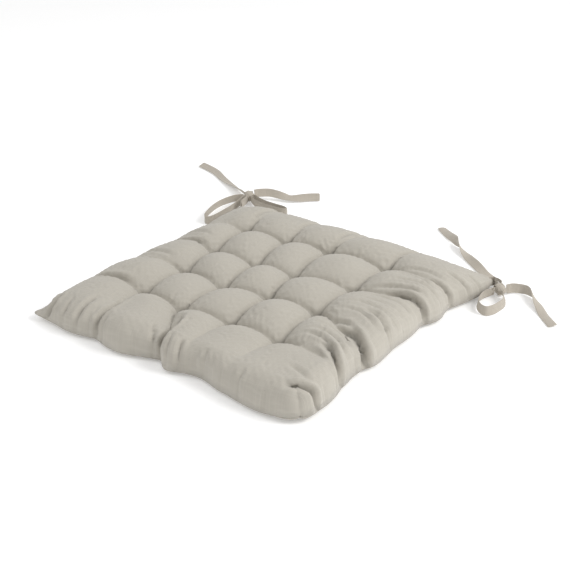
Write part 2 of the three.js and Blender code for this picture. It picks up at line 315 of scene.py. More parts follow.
cloth_material = linen("greige_linen", light=(0.490, 0.462, 0.405), dark=(0.435, 0.408, 0.357),
                       slub=(0.580, 0.550, 0.490))
tape_material = linen("tape_linen", light=(0.490, 0.448, 0.385), dark=(0.425, 0.386, 0.330),
                      slub=(0.580, 0.538, 0.470))
thread_material = twisted_thread("sewing_thread_greige", (0.50, 0.46, 0.40), (0.36, 0.33, 0.28))
fibre_material = fibre("fibre_fill_white", (0.86, 0.85, 0.82), (0.72, 0.71, 0.68))

# Ties. Routes repeat the design's, from each back corner: (x, y, lift, lean) in mm and degrees.
# Only the right root differs: it starts farther out, where the filled cover's corner reaches.
TAPE_WIDTH, TAPE_THICKNESS = 12.0, 1.2
KNOT_RADIUS, KNOT_EXIT, GAP = 8.0, 2.5, 0.3
TIES = {
    "left": dict(
        corner=(-200, 200), knot=(-13, 36), root=(-1.5, 2, 3, 90), runs=dict(
        tail_side=[
            (-31, 45, 1, 58), (-41, 50, 1, 46), (-62, 62, 0, 26), (-84, 73, 0, 8),
            (-105, 84, 0, -6), (-125, 95, 0, -14), (-146, 102, 0, -18), (-166, 107, 0, -20)],
        tail_back=[
            (-4, 49, 5, 66), (7, 58, 5, 62), (18, 62, 4, 56), (28, 65, 3, 40), (37, 69, 2, 24),
            (46, 75, 1, 34), (55, 83, 0, 52), (64, 90, 0, 60), (73, 96, 0, 62)],
        loop_side=[
            (-27, 18, 1, 80), (-33, 2, 0, 80), (-33, -14, 0, 82), (-30, -30, 0, 82),
            (-25, -46, 0, 84), (-19, -59, 0, 88), (-12, -65, 0, 90), (-7, -59, 0, 90),
            (-6, -45, 0, 90), (-7, -30, 0, 90), (-8, -14, 0, 90), (-11, 4, 0, 90),
            (-14, 20, 1, 90)],
        loop_back=[
            (0, 36, 1, 88), (10, 32, 0, 88), (25, 29, 0, 88), (42, 28, 0, 88),
            (58, 27, 0, 88), (66, 23, 0, 90), (58, 18, 0, 90), (42, 18, 0, 90),
            (25, 19, 0, 90), (10, 22, 0, 90), (-1, 28, 1, 90)])),
    "right": dict(
        corner=(200, 200), knot=(30, -26), root=(14.5, -11.5, 3, 90), runs=dict(
        tail_back=[
            (25, -13, 1, 88), (15, -1, 0, 50), (3, 7, 0, 10), (-13, 15, 0, -8),
            (-31, 27, 0, -28), (-48, 40, 0, -20), (-63, 53, 0, 20), (-77, 65, 0, 70),
            (-85, 72, 0, 108), (-94, 80, 1, 140), (-112, 95, 0, 164), (-130, 110, 0, 184)],
        tail_side=[
            (41, -12, 1, 75), (52, -6, 0, 78), (60, -7, 0, 86), (68, -13, 0, 110),
            (81, -27, 1, 155), (96, -43, 0, 180), (107, -54, 0, 186), (119, -65, 0, 190)],
        loop_side=[
            (24, -37, 1, 82), (19, -50, 0, 82), (21, -66, 0, 80), (29, -79, 0, 80),
            (40, -84, 0, 78), (46, -76, 0, 76), (48, -64, 0, 74), (48, -52, 0, 72),
            (42, -39, 1, 72)])),
}
TAPE_STEPS, TAPE_ACROSS, KNOT_STEPS = 6, 6, 28
CLOTH_TAPE, TAPE_CUP = 0.8, 0.5  # thickness and cupping in mm
HEM, HEM_PLIES = 0.006, 1.7  # length of a tail's hem in m, and its thickness against the tape's
TAPE_WAVER, WAVER_LENGTH = 0.02, 0.009  # how the tape's width varies, and over how many metres
EDGE_THINNING = 0.25
TAPE_FLOOR, KNOT_FLOOR = 0.1, 0.3  # lowest height in mm
KNOT_PLY, KNOT_PLEAT = 0.45, 0.35  # half the thickness of a turn, and height of its pleats, in mm
ROOT_SHARE, ROOT_SINK, ROOT_SAG = 0.975, 1, 1.2  # how far in a root starts, its drop, its sag
ROOT_INTO_KNOT, ROOT_KNOT_LIFT, ROOT_LAYER = 2, 1.5, 0.5
# Turns of tape that make up each knot: axis, radius, width, bulge, phase.
KNOT_TURNS = dict(
    left=[((0.75, 0.62, 0.1), 6.3, 11.5, 0.8, 0.4), ((0.2, 0.95, 0.35), 5.8, 10.5, 0.8, 2.0),
          ((0.95, -0.1, -0.45), 5.8, 10.5, 0.7, 4.1), ((-0.1, 0.3, 1.0), 5.5, 9, 0.8, 1.2)],
    right=[((0.55, 0.8, 0.2), 6.2, 10.5, 0.9, 1.1), ((0.95, 0.15, -0.3), 5.7, 10, 0.8, 3.0),
           ((0.3, -0.7, 0.6), 5.6, 9.5, 0.7, 5.2), ((0.1, -0.2, 1.0), 5.4, 9, 0.8, 2.2)],
)


def tape_height(lift, lean):
    """Height of a tape's middle when its lower edge is lift above the floor, in mm."""
    angle = math.radians(lean)
    tall, flat = abs(math.sin(angle)) * TAPE_WIDTH, abs(math.cos(angle)) * TAPE_THICKNESS
    return GAP + lift + (tall + flat) / 2


def tape_rows(home, knot, run):
    """The way out of the knot, the route of one run and the way back in, as x, y, z and lean."""
    rows = [[home[0] + x, home[1] + y, tape_height(lift, lean), lean] for x, y, lift, lean in run]

    def leave(row):
        out = np.array(row[:2]) - knot
        out /= np.linalg.norm(out)
        return [[*(knot + out * (KNOT_RADIUS + GAP + way)), row[2], row[3]]
                for way in (0, KNOT_EXIT)]

    return leave(rows[0]), rows, leave(rows[-1])[::-1]


def band_mesh(rows, hemmed=False, aside=0.0):
    """A woven tape that follows rows: vertices, faces, flat pattern and centreline, in metres."""
    fine = catmull_rom(rows, TAPE_STEPS)
    centre, lean = fine[:, :3] * MM, np.radians(fine[:, 3])
    tangent = np.gradient(centre, axis=0)
    tangent /= np.linalg.norm(tangent, axis=1)[:, None]
    flat = np.stack([-tangent[:, 1], tangent[:, 0], 0 * lean], 1)
    flat /= np.linalg.norm(flat, axis=1)[:, None]
    rise = np.cross(tangent, flat)
    width = flat * np.cos(lean)[:, None] + rise * np.sin(lean)[:, None]
    across = np.cross(tangent, width)
    way = np.concatenate([[0], np.cumsum(np.linalg.norm(np.diff(centre, axis=0), axis=1))])
    vertices, place, ring = [], [], 2 * (TAPE_ACROSS + 1)
    for c, w, n, at in zip(centre, width, across, way):
        thick = CLOTH_TAPE * (HEM_PLIES if hemmed and at > way[-1] - HEM else 1.0)
        reach = TAPE_WIDTH * (1 + TAPE_WAVER * math.sin(at / WAVER_LENGTH))
        for side in (1, -1):
            for k in range(TAPE_ACROSS + 1):
                s = (k / TAPE_ACROSS - 0.5) * side
                edge = abs(2 * s) ** 3
                cup = TAPE_CUP * (4 * s * s - 1 / 3)
                body = thick / 2 * (1 - EDGE_THINNING * edge)
                vertices.append(c + (w * s * reach + n * (side * body + cup + aside)) * MM)
                place.append((at, (s + 0.5) * TAPE_WIDTH * MM))
    faces = [face[::-1] for face in ring_faces(len(centre), ring)]
    vertices = np.array(vertices)
    vertices[:, 2] = np.maximum(vertices[:, 2], TAPE_FLOOR * MM)
    return vertices, faces, place, centre


def ring_mesh(middle, axis, radius, width, bulge, phase):
    """A turn of tape round the knot: a closed band about axis, arched across its width."""
    axis = np.array(axis, float) / np.linalg.norm(axis)
    u = np.cross(axis, (0.2, 0.1, 1.0))
    u /= np.linalg.norm(u)
    v = np.cross(axis, u)
    vertices, place, ring = [], [], 2 * (TAPE_ACROSS + 1)
    for i in range(KNOT_STEPS):
        turn = 2 * math.pi * i / KNOT_STEPS
        out = u * math.cos(turn) + v * math.sin(turn)
        lump = 1 + 0.05 * math.sin(2 * turn + phase) + 0.03 * math.sin(5 * turn + 2 * phase)
        slim = 1 + 0.12 * math.sin(turn * 2 + phase)
        for side in (1, -1):
            for k in range(TAPE_ACROSS + 1):
                s = (k / TAPE_ACROSS - 0.5) * 2 * side
                pleat = KNOT_PLEAT * math.cos(3 * math.pi * s / 2)
                away = radius * lump + bulge * (1 - s * s) + side * KNOT_PLY + pleat
                vertices.append(middle + out * away + axis * s * width / 2 * slim)
                place.append((turn * radius * MM, (s + 1) / 2 * TAPE_WIDTH * MM))
    faces = [face[::-1] for face in ring_faces(KNOT_STEPS, ring, closed=True)]
    vertices = np.array(vertices)
    vertices[:, 2] = np.maximum(vertices[:, 2], KNOT_FLOOR)
    return vertices * MM, faces, place


def tape_piece(name, meshes, body, node):
    """One object from several tape meshes, riding on body in place of a CAD node."""
    vertices, faces = joined([(m[0], m[1]) for m in meshes])
    piece = new_object(name, vertices, faces, tape_material)
    set_grain(piece, [p for m in meshes for p in m[2]])
    round_off = piece.modifiers.new("round", "SUBSURF")
    round_off.levels = round_off.render_levels = 1
    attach(piece, body)
    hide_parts(node)
    return piece


def root_meshes(tie, home, middle):
    """The root of a tie: two tapes together, from inside the seam to the knot."""
    x, y, lift, lean = tie["root"]
    start = [home[0] + x, home[1] + y, tape_height(lift, lean), lean]
    inside = [*(np.array(start[:2]) * ROOT_SHARE), start[2] - ROOT_SINK, lean]
    towards = np.array(start[:3]) - middle
    towards[2] = 0
    towards /= np.linalg.norm(towards)
    near = [*(middle[:2] + towards[:2] * (KNOT_RADIUS - ROOT_INTO_KNOT)),
            tape_height(ROOT_KNOT_LIFT, lean), lean]
    halfway = [*(np.array(start[:2]) * 0.5 + np.array(near[:2]) * 0.5), start[2] - ROOT_SAG, lean]
    route = [inside, start, halfway, near]
    return [band_mesh(route, aside=aside) for aside in (-ROOT_LAYER, ROOT_LAYER)]


def add_ties():
    for side, tie in TIES.items():
        home = np.array(tie["corner"], float)
        middle = np.array([*(home + tie["knot"]), GAP + KNOT_RADIUS])
        turns = [ring_mesh(middle, *turn) for turn in KNOT_TURNS[side]]
        knot = tape_piece(f"{side}_knot_turns", turns, "pad", f"tie_{side}_knot")
        root = tape_piece(f"{side}_root_tapes", root_meshes(tie, home, middle), "pad",
                          f"tie_{side}_root")
        for run_name, run in tie["runs"].items():
            leave, rows, back = tape_rows(home, middle[:2], run)
            loop = run_name.startswith("loop")
            mesh = band_mesh(leave + rows + (back if loop else []), hemmed=not loop)
            tape = tape_piece(f"{side}_{run_name}_tape", [mesh], f"{side}_{run_name}",
                              f"tie_{side}_{run_name}")


add_ties()


# Pad: two linen panels on one grid, joined at the seam, filled by a cloth simulation. Lengths
# in mm. x and y are places on the flat panels, a square of side 2 * HALF.
HALF, TUFT_PITCH, TUFT_COUNT = 200.0, 70.0, 4
SEAM_AT_CORNERS, SEAM_AT_FRONT, SEAM_AT_BACK = 8.5, 4.5, 7.0
TUFTS_MIDDLE = (-6.0, 0.0)
TUFT_LINES = [[centre + (i - (TUFT_COUNT - 1) / 2) * TUFT_PITCH for i in range(TUFT_COUNT)]
              for centre in TUFTS_MIDDLE]
PIT_TOP, PIT_BOTTOM, CROWN = 19.5, 8.5, 42.0
CROWN_DROP_BACK, CROWN_DROP_CORNER = 6, 5
BOTTOM_RISE, BOTTOM_ROUND = 0.6, 30  # the bottom panel's height before filling, and its rounding
VALLEY, VALLEY_ROUND = 0.42, 0.78
TUFT_FLAT = 1.0  # half-width of the bottom of a valley
EDGE_PULL, EDGE_POWER = 5.0, 6  # how far a valley draws the seam in, and how sharply that fades
CELLS_IN_PUFF, EDGE_CELL = 20, 3.55
# How each side rounds down to the seam: width of the rounding and power of its curve, each at
# the front (or left) and at the back (or right) of that side.
ROUNDING = dict(left=(58, 80), right=(24, 44), front=(50, 24), back=(55, 65))
LEFT_POWER, BACK_POWER, USUAL_POWER = (1.8, 1.35), (1.8, 1.6), 2.3
EAR_FLAT, EAR_FULL = 4, 46  # the front left corner is flat up to here, and full from there
# How far along its edge each outer valley has wandered where it meets the seam.
VALLEY_WANDER = dict(left=(-4.0, -6.0, 2.0, -3.0), right=(-20.0, -45.0, 8.0, -6.0),
                     front=(12.0, 38.0, 4.0, 0.0), back=(-6.0, -3.0, 4.0, 8.0))
# How far the seam bulges out of the flat panel's edge, or is drawn in: place along the side,
# then shift. It is smoothed over SHIFT_SPREAD.
EDGE_SHIFT = dict(
    front=[(-200, 3), (-172, 3), (-140, 7), (-118, 5), (-97, 3), (-75, 8), (-52, 8),
           (-36, 3), (-21, 0), (-6, -3), (14, 8), (33, 1), (50, -4), (68, -1), (88, 6),
           (104, 8), (120, 11), (145, 14), (178, 12), (200, 6)],
    right=[(-200, 2), (-185, 3), (-150, 2), (-131, -1), (-110, -5), (-94, -8), (-80, -1),
           (-66, 4), (-40, 0), (-20, -3), (20, 0), (46, -1), (60, 5), (72, 6), (90, 2),
           (103, 4), (125, 10), (150, 16), (175, 17), (200, 16)],
    back=[(-200, 0), (-150, 1), (-60, 1), (20, 1), (100, 0), (150, -3), (180, -7), (200, -9)],
    left=[(-200, 3), (-165, -1), (-110, 2), (-60, 0), (0, -2), (60, -5), (110, -5), (150, -3),
          (185, -1), (200, 0)],
)
SHIFT_SPREAD = (-8, -4, 0, 4, 8)
CORNER_ROUND = {(1, -1): 20.0, (-1, -1): 7.0, (-1, 1): 10.0, (1, 1): 8.0}
COVER_THICKNESS = 0.8
HOLD_SHAPE, HOLD_SEAM, HOLD_TUFT = 0.45, 0.8, 1.0
FILL_FRAMES, QUICK_FRAMES = 18, 3
SLACK_FROM, SLACK_TO = 120, 180  # the right side has slack cloth
CLOTH = dict(
    quality=5, mass=0.3, tension_stiffness=15, compression_stiffness=15, shear_stiffness=5,
    bending_stiffness=0.1, use_pressure=True, uniform_pressure_force=8,
    vertex_group_mass="hold", pin_stiffness=1, vertex_group_shrink="slack",
    shrink_min=-0.018, shrink_max=-0.05,
)
COLLISION_GAP = 0.0005
BATT_CLEARANCE, BATT_THINNEST = 2.0, 0.4
SEAM_TUCK, SEAM_GAP, FLOOR_CLEARANCE = 0.9, 0.3, 0.3
# How deep the valley behind each outer tuft still is where it meets the seam, from the left or
# the front.
VALLEY_AT_EDGE = dict(left=(0.35, 0.4, 0.5, 0.45), right=(0.35, 1.0, 0.7, 0.4),
                      front=(0.5, 1.1, 0.2, 0.1), back=(0.35, 0.3, 0.3, 0.3))
PUFF_CROWNS = np.random.default_rng(11).uniform(-2.0, 1.5, (TUFT_COUNT + 1, TUFT_COUNT + 1))


SIDES = (("left", "right"), ("front", "back"))


def lerp(a, b, t):
    return a + (b - a) * t


def smooth(v, low, high):
    t = np.clip((v - low) / (high - low), 0, 1)
    return t * t * (3 - 2 * t)


def tuft_places():
    """Middles of the tufts in mm, as rows from the front and columns from the left."""
    places = np.empty((TUFT_COUNT, TUFT_COUNT, 2))
    for row in range(TUFT_COUNT):
        for column in range(TUFT_COUNT):
            low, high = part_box(f"tuft_thread_{TUFT_COUNT - row}_{column + 1}")
            places[row, column] = [(low[k] + high[k]) / 2 / MM for k in (0, 1)]
    return places


TUFTS = tuft_places()


def grid_lines(lines):
    """Places of the grid's lines across the panel, with one on each tuft line."""
    low = round((lines[0] + HALF) / EDGE_CELL)
    high = round((HALF - lines[-1]) / EDGE_CELL)
    middle = np.linspace(lines[0], lines[-1], (TUFT_COUNT - 1) * CELLS_IN_PUFF + 1)
    return np.concatenate([np.linspace(-HALF, lines[0], low + 1)[:-1], middle,
                           np.linspace(lines[-1], HALF, high + 1)[1:]])


def from_line(v, lines):
    """Distance from the nearest tuft line, and that line's number."""
    number = np.clip(np.round((v - lines[0]) / TUFT_PITCH), 0, TUFT_COUNT - 1).astype(int)
    return np.abs(v - np.array(lines)[number]), number


def beyond(v, lines):
    """0 between the tuft lines, rising to 1 at the seam: towards the low side, then the high."""
    low = np.clip((lines[0] - v) / (lines[0] + HALF), 0, 1)
    high = np.clip((v - lines[-1]) / (HALF - lines[-1]), 0, 1)
    return low, high


def puff_share(v, along, axis):
    """0 on a tuft line and 1 in the middle of a puff; beyond the outer tufts the valley fades."""
    lines = TUFT_LINES[axis]
    distance, number = from_line(v, lines)
    way = np.clip((distance - TUFT_FLAT) / (TUFT_PITCH / 2 - TUFT_FLAT), 0, 1)
    share = np.sin(np.pi / 2 * way) ** VALLEY_ROUND
    low, high = beyond(along, TUFT_LINES[1 - axis])
    low_side, high_side = SIDES[1 - axis]
    strength = (1 + low * (np.array(VALLEY_AT_EDGE[low_side])[number] - 1)
                + high * (np.array(VALLEY_AT_EDGE[high_side])[number] - 1))
    return 1 - (1 - share) * strength


def edge_share(inset, rounding, power=USUAL_POWER):
    """0 at the seam, rising along a rounded curve to 1 at rounding from it."""
    t = np.clip(inset / rounding, 0, 1)
    return (1 - (1 - t) ** power) ** (1 / power)


def warp(x, y):
    """Where a place on the flat panels lies: drawn to the tufts, and pulled in behind them."""
    steps = [(v - lines[0]) / TUFT_PITCH for v, lines in zip((x, y), TUFT_LINES)]
    held = [np.clip(s, 0, TUFT_COUNT - 1) for s in steps]
    cell = [np.minimum(TUFT_COUNT - 2, np.floor(h)).astype(int) for h in held]
    u, v = held[0] - cell[0], held[1] - cell[1]
    grid = np.stack(np.meshgrid(*TUFT_LINES), -1)
    drift = TUFTS - grid
    c, r = cell
    near = lerp(drift[r, c], drift[r, c + 1], u[..., None])
    far = lerp(drift[r + 1, c], drift[r + 1, c + 1], u[..., None])
    fade = 1.0
    for value, lines in zip((x, y), TUFT_LINES):
        low, high = beyond(value, lines)
        fade = fade * (1 - low) * (1 - high)
    moved = lerp(near, far, v[..., None]) * fade[..., None]
    for (side_x, side_y), size in CORNER_ROUND.items():
        out_x, out_y = x * side_x - (HALF - size), y * side_y - (HALF - size)
        square = np.maximum(out_x, out_y)
        reach = np.maximum(np.hypot(out_x, out_y), 1e-9)
        scale = np.where((out_x > 0) & (out_y > 0), square / reach, 1)
        x = np.where(scale < 1, side_x * (HALF - size + out_x * scale), x)
        y = np.where(scale < 1, side_y * (HALF - size + out_y * scale), y)
    wander = []
    for axis, (value, along) in enumerate(((y, x), (x, y))):
        stops = [-HALF, *TUFT_LINES[1 - axis], HALF]
        low, high = beyond(along, TUFT_LINES[axis])
        wander.append(sum(
            np.interp(value, stops, [0, *VALLEY_WANDER[side], 0]) * smooth(way, 0, 0.9)
            for side, way in zip(SIDES[axis], (low, high))))
    pull_x = EDGE_PULL * (1 - puff_share(y, x, 1)) * (x / HALF) ** EDGE_POWER * np.sign(x)
    pull_y = EDGE_PULL * (1 - puff_share(x, y, 0)) * (y / HALF) ** EDGE_POWER * np.sign(y)
    return x - pull_x + moved[..., 0] + wander[1], y - pull_y + moved[..., 1] + wander[0]


def outlined(x, y):
    """The same places with the outline bulged out or drawn in along each side."""
    def shift(side, along):
        stops, values = zip(*EDGE_SHIFT[side])
        return np.mean([np.interp(along + near, stops, values) for near in SHIFT_SPREAD], axis=0)

    out_x = np.where(x < 0, -shift("left", y), shift("right", y))
    out_y = np.where(y < 0, -shift("front", x), shift("back", x))
    return x + out_x * (x / HALF) ** EDGE_POWER, y + out_y * (y / HALF) ** EDGE_POWER


def sculpted(x, y):
    """Heights of the top and the bottom panel before they are filled."""
    across, up = puff_share(x, y, 0), puff_share(y, x, 1)
    full = VALLEY * (across + up - across * up) + (1 - VALLEY) * across * up
    to_back, to_right = (y + HALF) / (2 * HALF), (x + HALF) / (2 * HALF)
    crown = (CROWN - CROWN_DROP_BACK * smooth(y, 110, HALF)
             - CROWN_DROP_CORNER * smooth(x, 60, HALF) * smooth(y, 60, HALF))
    column, row = [
        np.clip(np.floor((v - lines[0]) / TUFT_PITCH) + 1, 0, TUFT_COUNT).astype(int)
        for v, lines in zip((x, y), TUFT_LINES)]
    crown = crown + PUFF_CROWNS[row, column] * across * up
    middle_back = smooth(to_back, 0.2, 0.8)
    round_left = lerp(*ROUNDING["left"], middle_back)
    round_right = lerp(*ROUNDING["right"], smooth(to_back, 0.1, 1))
    round_front = lerp(*ROUNDING["front"], smooth(to_right, 0, 0.3))
    round_back = lerp(*ROUNDING["back"], to_right)
    rounding_x = np.where(x < 0, round_left, round_right)
    rounding_y = np.where(y < 0, round_front, round_back)
    power_x = np.where(x < 0, lerp(*LEFT_POWER, middle_back), USUAL_POWER)
    power_y = np.where(y < 0, USUAL_POWER, lerp(*BACK_POWER, to_right))
    inset_x, inset_y = HALF - np.abs(x), HALF - np.abs(y)
    fade = edge_share(inset_x, rounding_x, power_x) * edge_share(inset_y, rounding_y, power_y)
    ear = smooth(inset_x + inset_y, EAR_FLAT, EAR_FULL)
    fade = fade * np.where((x < 0) & (y < 0), ear, 1)
    to_corner = smooth(np.minimum(np.abs(x), np.abs(y)) / HALF, 0.72, 1)
    seam = lerp(SEAM_AT_BACK, SEAM_AT_FRONT, smooth(x - y, -120, 120))
    seam = lerp(seam, SEAM_AT_CORNERS, to_corner)
    top = lerp(seam, lerp(PIT_TOP, crown, full), fade)
    pit = 1 - smooth(full, 0, VALLEY)
    low_fade = edge_share(inset_x, BOTTOM_ROUND) * edge_share(inset_y, BOTTOM_ROUND)
    bottom = lerp(seam, lerp(BOTTOM_RISE, PIT_BOTTOM, pit), low_fade)
    return top, bottom


def settle(pad):
    """Fills the pad with a cloth simulation on a hard ground; returns its points in mm."""
    ground = new_plane("ground", 1, cloth_material)
    ground.modifiers.new("ground", "COLLISION")
    ground.collision.thickness_outer = COLLISION_GAP
    modifier = pad.modifiers.new("filling", "CLOTH")
    for key, value in CLOTH.items():
        setattr(modifier.settings, key, value)
    modifier.settings.effector_weights.gravity = 0
    modifier.collision_settings.distance_min = COLLISION_GAP
    modifier.point_cache.frame_end = FILL_FRAMES
    scene = bpy.context.scene
    for step in range(1, FILL_FRAMES + 1):
        scene.frame_set(step)
    settled = pad.evaluated_get(bpy.context.evaluated_depsgraph_get()).data
    flat = np.empty(len(settled.vertices) * 3)
    settled.vertices.foreach_get("co", flat)
    scene.frame_set(1)
    for done in (pad, ground):
        mesh = done.data
        bpy.data.objects.remove(done)
        bpy.data.meshes.remove(mesh)
    return flat.reshape(-1, 3) / MM


def fill_panels():
    """The flat panels' grid, the same drawn to the tufts, and both panels filled, in mm."""
    xs, ys = grid_lines(TUFT_LINES[0]), grid_lines(TUFT_LINES[1])
    x, y = np.meshgrid(xs, ys)
    wx, wy = warp(x, y)
    out_x, out_y = outlined(wx, wy)
    top, bottom = sculpted(x, y)
    count = x.size
    seam = np.zeros(x.shape, bool)
    seam[[0, -1]] = seam[:, [0, -1]] = True
    top_id = np.arange(count).reshape(x.shape)
    bottom_id = top_id.copy()
    bottom_id[~seam] = count + np.arange((~seam).sum())
    points = np.vstack([np.stack([out_x, out_y, top], -1).reshape(-1, 3),
                        np.stack([out_x, out_y, bottom], -1)[~seam]])
    quads = []
    for ids, turned in ((top_id, False), (bottom_id, True)):
        block = grid_quads(ids)
        quads.append(block[:, ::-1] if turned else block)
    pad = new_object("pad_filling_up", points * MM, np.vstack(quads).tolist(), cloth_material)
    hold = pad.vertex_groups.new(name="hold")
    hold.add(list(range(len(points))), HOLD_SHAPE, "REPLACE")
    hold.add(top_id[seam].tolist(), HOLD_SEAM, "REPLACE")
    for line_y in TUFT_LINES[1]:
        for line_x in TUFT_LINES[0]:
            i, j = int(np.abs(xs - line_x).argmin()), int(np.abs(ys - line_y).argmin())
            near = np.s_[j - 1 : j + 2, i - 1 : i + 2]
            held = top_id[near].ravel().tolist() + bottom_id[near].ravel().tolist()
            hold.add(held, HOLD_TUFT, "REPLACE")
    slack = pad.vertex_groups.new(name="slack")
    weight = smooth(points[:, 0], SLACK_FROM, SLACK_TO)
    for k in np.nonzero(weight)[0]:
        slack.add([int(k)], float(weight[k]), "REPLACE")
    out = settle(pad)
    return x, y, wx, wy, out[top_id], out[bottom_id]


# Pleats pressed into the top panel: points on the flat panel, then depth and half-width.
PLEATS = [
    # right side, from the front corner to the back
    ([(166, -186), (176, -188), (186, -184), (194, -179), (200, -177), (208, -180)], 6.0, 3.0),
    ([(150, -160), (172, -166), (186, -172)], 1.6, 3.0),
    ([(150, -104), (172, -112), (188, -122), (200, -130)], 5.0, 3.6),
    ([(116, -96), (150, -98), (182, -112)], 1.8, 2.6),
    ([(118, -88), (155, -86), (194, -106)], 1.8, 2.8),
    ([(112, -74), (150, -70), (184, -90)], 1.5, 2.4),
    ([(140, -58), (166, -62), (184, -72), (200, -80)], 7.0, 4.2),
    ([(116, -48), (145, -46), (176, -60)], 2.2, 2.8),
    ([(112, -24), (150, -22), (186, -40)], 1.8, 2.4),
    ([(150, -16), (176, -20), (200, -32)], 3.4, 3.0),
    ([(112, -10), (150, -2), (194, -12)], 1.6, 2.4),
    ([(126, 8), (160, 12), (196, 6)], 1.5, 2.2),
    ([(118, 22), (155, 28), (194, 24)], 2.0, 2.4),
    ([(136, 36), (166, 46), (184, 48), (200, 46)], 4.6, 3.4),
    ([(114, 44), (150, 56), (182, 62)], 2.0, 2.6),
    ([(130, 66), (165, 76), (196, 74)], 1.5, 2.2),
    ([(116, 92), (150, 94), (182, 84)], 1.8, 2.6),
    ([(158, 96), (182, 101), (200, 101)], 3.4, 3.0),
    ([(118, 112), (150, 116), (178, 112)], 1.4, 2.6),
    ([(172, 128), (200, 132)], 2.2, 2.6),
    ([(180, 156), (200, 152)], 1.6, 2.2),
    # front side, from the left corner to the right
    ([(-184, -160), (-176, -178), (-175, -200)], 4.4, 3.6),
    ([(-150, -176), (-146, -200)], 1.6, 3.0),
    ([(-122, -158), (-126, -200)], 2.6, 3.4),
    ([(-100, -128), (-95, -160), (-97, -200)], 4.6, 3.6),
    ([(-88, -172), (-84, -200)], 1.4, 2.4),
    ([(-30, -168), (-20, -184), (-10, -198)], 2.2, 2.6),
    ([(-16, -140), (-6, -158), (-3, -174), (-3, -200)], 4.8, 4.0),
    ([(10, -180), (16, -200)], 1.4, 2.4),
    ([(26, -182), (30, -198)], 2.0, 2.6),
    ([(60, -184), (64, -200)], 1.2, 3.0),
    ([(118, -186), (120, -200)], 1.2, 3.0),
    # left and back sides
    ([(-118, -104), (-150, -108), (-186, -112)], 3.0, 3.4),
    ([(-122, -42), (-160, -44), (-196, -46)], 2.0, 3.0),
    ([(-118, -28), (-160, -22), (-190, -18)], 1.4, 3.0),
    ([(-114, 34), (-155, 34), (-196, 32)], 2.6, 3.0),
    ([(-118, 46), (-160, 56), (-190, 58)], 1.2, 3.0),
    ([(-118, 100), (-160, 98), (-196, 98)], 2.2, 3.0),
    ([(-186, 176), (-198, 188)], 1.8, 3.0),
    ([(-116, 114), (-122, 150), (-124, 196)], 2.0, 3.0),
    ([(-46, 116), (-50, 150), (-52, 196)], 1.8, 3.0),
    ([(16, 116), (14, 150), (16, 196)], 1.8, 3.0),
    ([(100, 122), (106, 160), (108, 196)], 2.2, 3.0),
    ([(150, 182), (152, 200)], 1.6, 2.6),
    ([(182, 190), (196, 196)], 1.6, 2.2),
]
PLEAT_DEPTH, PLEAT_WIDTH = 1.6, 0.85  # scales of the depths and half-widths above
GROOVE_SHARPNESS, RIDGE_HEIGHT, RIDGE_PLACE = 1.1, 0.35, 2.3
CREASE_DEPTH, CREASE_WIDTH = 5.5, 2.2
# Small creases: ranges of length, bend, depth and half-width.
SMALL_CREASES, CREASES_WITHIN = 110, 185
SMALL_REACH, SMALL_BEND, SMALL_DEPTH, SMALL_WIDTH = (10, 26), (-3, 3), (0.25, 0.8), (1.3, 2.2)
# Pleats that fan out from each tuft: ranges of turn, length, depth and half-width.
FAN_PLEATS, FAN_START = 7, 3
FAN_TURN, FAN_REACH, FAN_DEPTH, FAN_WIDTH = (-0.25, 0.25), (14, 26), (0.5, 1.2), (1.4, 2.2)


def double(field):
    """A grid of values with a new one between each two, along both directions."""
    for _ in range(2):
        padded = np.concatenate([2 * field[:1] - field[1:2], field, 2 * field[-1:] - field[-2:-1]])
        between = (9 * (padded[1:-2] + padded[2:-1]) - (padded[:-3] + padded[3:])) / 16
        out = np.empty((2 * len(field) - 1, *field.shape[1:]))
        out[::2], out[1::2] = field, between
        field = np.swapaxes(out, 0, 1)
    return field


def grid_normals(points):
    """The unit normal at each point of a grid, turned up on a grid seen from above."""
    along = np.gradient(points, axis=1)
    up = np.gradient(points, axis=0)
    normal = np.cross(along, up)
    return normal / np.maximum(np.linalg.norm(normal, axis=-1, keepdims=True), 1e-9)


def groove(x, y, route, depth, width):
    """A pleat along route: a sharp valley with a soft ridge on each side, fading in."""
    route = catmull_rom(route, 6)
    low, high = route.min(0) - 5 * width, route.max(0) + 5 * width
    near = (x > low[0]) & (x < high[0]) & (y > low[1]) & (y < high[1])
    px, py = x[near], y[near]
    best = np.full(px.shape, np.inf)
    along = np.zeros(px.shape)
    lengths = np.concatenate([[0], np.cumsum(np.linalg.norm(np.diff(route, axis=0), axis=1))])
    for k in range(len(route) - 1):
        a, b = route[k], route[k + 1]
        step = b - a
        t = np.clip(((px - a[0]) * step[0] + (py - a[1]) * step[1]) / (step @ step), 0, 1)
        distance = np.hypot(px - a[0] - t * step[0], py - a[1] - t * step[1])
        closer = distance < best
        best[closer] = distance[closer]
        along[closer] = (lengths[k] + t * (lengths[k + 1] - lengths[k]))[closer] / lengths[-1]
    fade = smooth(along, -0.02, 0.45) * (1 - 0.75 * smooth(along, 0.86, 1.05))
    ridge = RIDGE_HEIGHT * np.exp(-((best - RIDGE_PLACE * width) / width) ** 2)
    shape = np.exp(-(best / width) ** GROOVE_SHARPNESS) - ridge
    out = np.zeros(x.shape)
    out[near] = -depth * fade * shape
    return out


